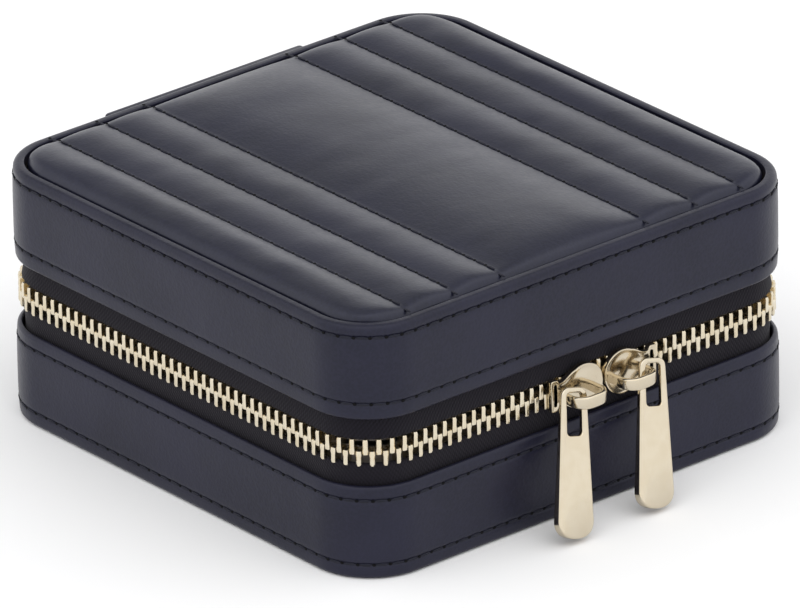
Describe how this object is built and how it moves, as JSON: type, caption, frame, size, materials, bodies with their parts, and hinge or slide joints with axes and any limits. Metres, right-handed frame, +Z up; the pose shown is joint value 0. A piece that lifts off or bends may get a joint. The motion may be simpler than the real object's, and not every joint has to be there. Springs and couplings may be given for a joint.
{
  "type": "leather jewellery case",
  "caption": "Square zip-round leather jewellery case with a quilted lid, hinge strip, twin metal sliders with pull tabs, lined tray, ring rolls and lid mirror.",
  "frame": {"origin": "centre of the flat underside, on the surface that the case stands on", "axes": "+Z up out of the quilted lid, -Y towards the front where the sliders are, +X to the right as seen from the front"},
  "size_m": [0.124, 0.1385, 0.0585],
  "materials": {
    "navy_leather": "smooth navy leather with a soft sheen, stitched near its turned edges",
    "quilted_leather": "smooth navy leather over wadding, sewn in channels",
    "zip_tape": "dark woven twill tape",
    "gold_teeth": "pale gold plated zip teeth, polished",
    "gold_fittings": "pale gold plated castings, polished",
    "card_board": "stiff grey-brown card board, hidden inside the walls",
    "suede_lining": "warm grey suede-like lining",
    "suede_roll": "warm grey suede-like cover over foam",
    "mirror_glass": "clear mirror"
  },
  "bodies": {
    "base": {"base_leather_band": "navy_leather", "base_bottom_leather": "navy_leather", "base_bottom_board": "card_board", "base_frame_board": "card_board", "base_lining_tray": "suede_lining", "base_hinge_strip": "navy_leather", "long_divider": "suede_lining", "left_cross_divider": "suede_lining", "right_cross_divider": "suede_lining", "ring_roll_1": "suede_roll", "ring_roll_2": "suede_roll", "ring_roll_3": "suede_roll", "ring_roll_4": "suede_roll", "ring_roll_5": "suede_roll", "ring_roll_6": "suede_roll", "lower_zip_tape": "zip_tape", "lower_zip_teeth": "gold_teeth", "lower_zip_stop_left": "gold_teeth", "lower_zip_stop_right": "gold_teeth"},
    "lid": {"lid_leather_band": "navy_leather", "lid_frame_board": "card_board", "lid_top_board": "card_board", "lid_quilted_panel": "quilted_leather", "lid_lining": "suede_lining", "lid_hinge_strip": "navy_leather", "mirror": "mirror_glass", "mirror_border": "navy_leather", "upper_zip_tape": "zip_tape", "upper_zip_teeth": "gold_teeth", "upper_zip_stop_left": "gold_teeth", "upper_zip_stop_right": "gold_teeth"},
    "left_slider": {"left_slider": "gold_fittings", "left_slider_bridge": "gold_fittings"},
    "right_slider": {"right_slider": "gold_fittings", "right_slider_bridge": "gold_fittings"},
    "left_pull": {"left_pull": "gold_fittings"},
    "right_pull": {"right_pull": "gold_fittings"}
  },
  "joints": [
    {"name": "lid_hinge", "type": "hinge", "parent": "base", "child": "lid", "pos_m": [0, 0.064, 0.0289], "axis": [-1, 0, 0], "range_deg": [0, 178]},
    {"name": "left_slider_run", "type": "slide", "parent": "base", "child": "left_slider", "axis": [-1, 0, 0], "range_m": [0, 0.0362]},
    {"name": "right_slider_run", "type": "slide", "parent": "base", "child": "right_slider", "axis": [1, 0, 0], "range_m": [0, 0.0281]},
    {"name": "left_pull_swing", "type": "hinge", "parent": "left_slider", "child": "left_pull", "pos_m": [-0.0069, -0.0655, 0.0278], "axis": [0, 0.9563, -0.2924], "range_deg": [-15, 72]},
    {"name": "right_pull_swing", "type": "hinge", "parent": "right_slider", "child": "right_pull", "pos_m": [0.015, -0.0655, 0.0278], "axis": [0, -0.9563, 0.2924], "range_deg": [-5, 98]}
  ]
}
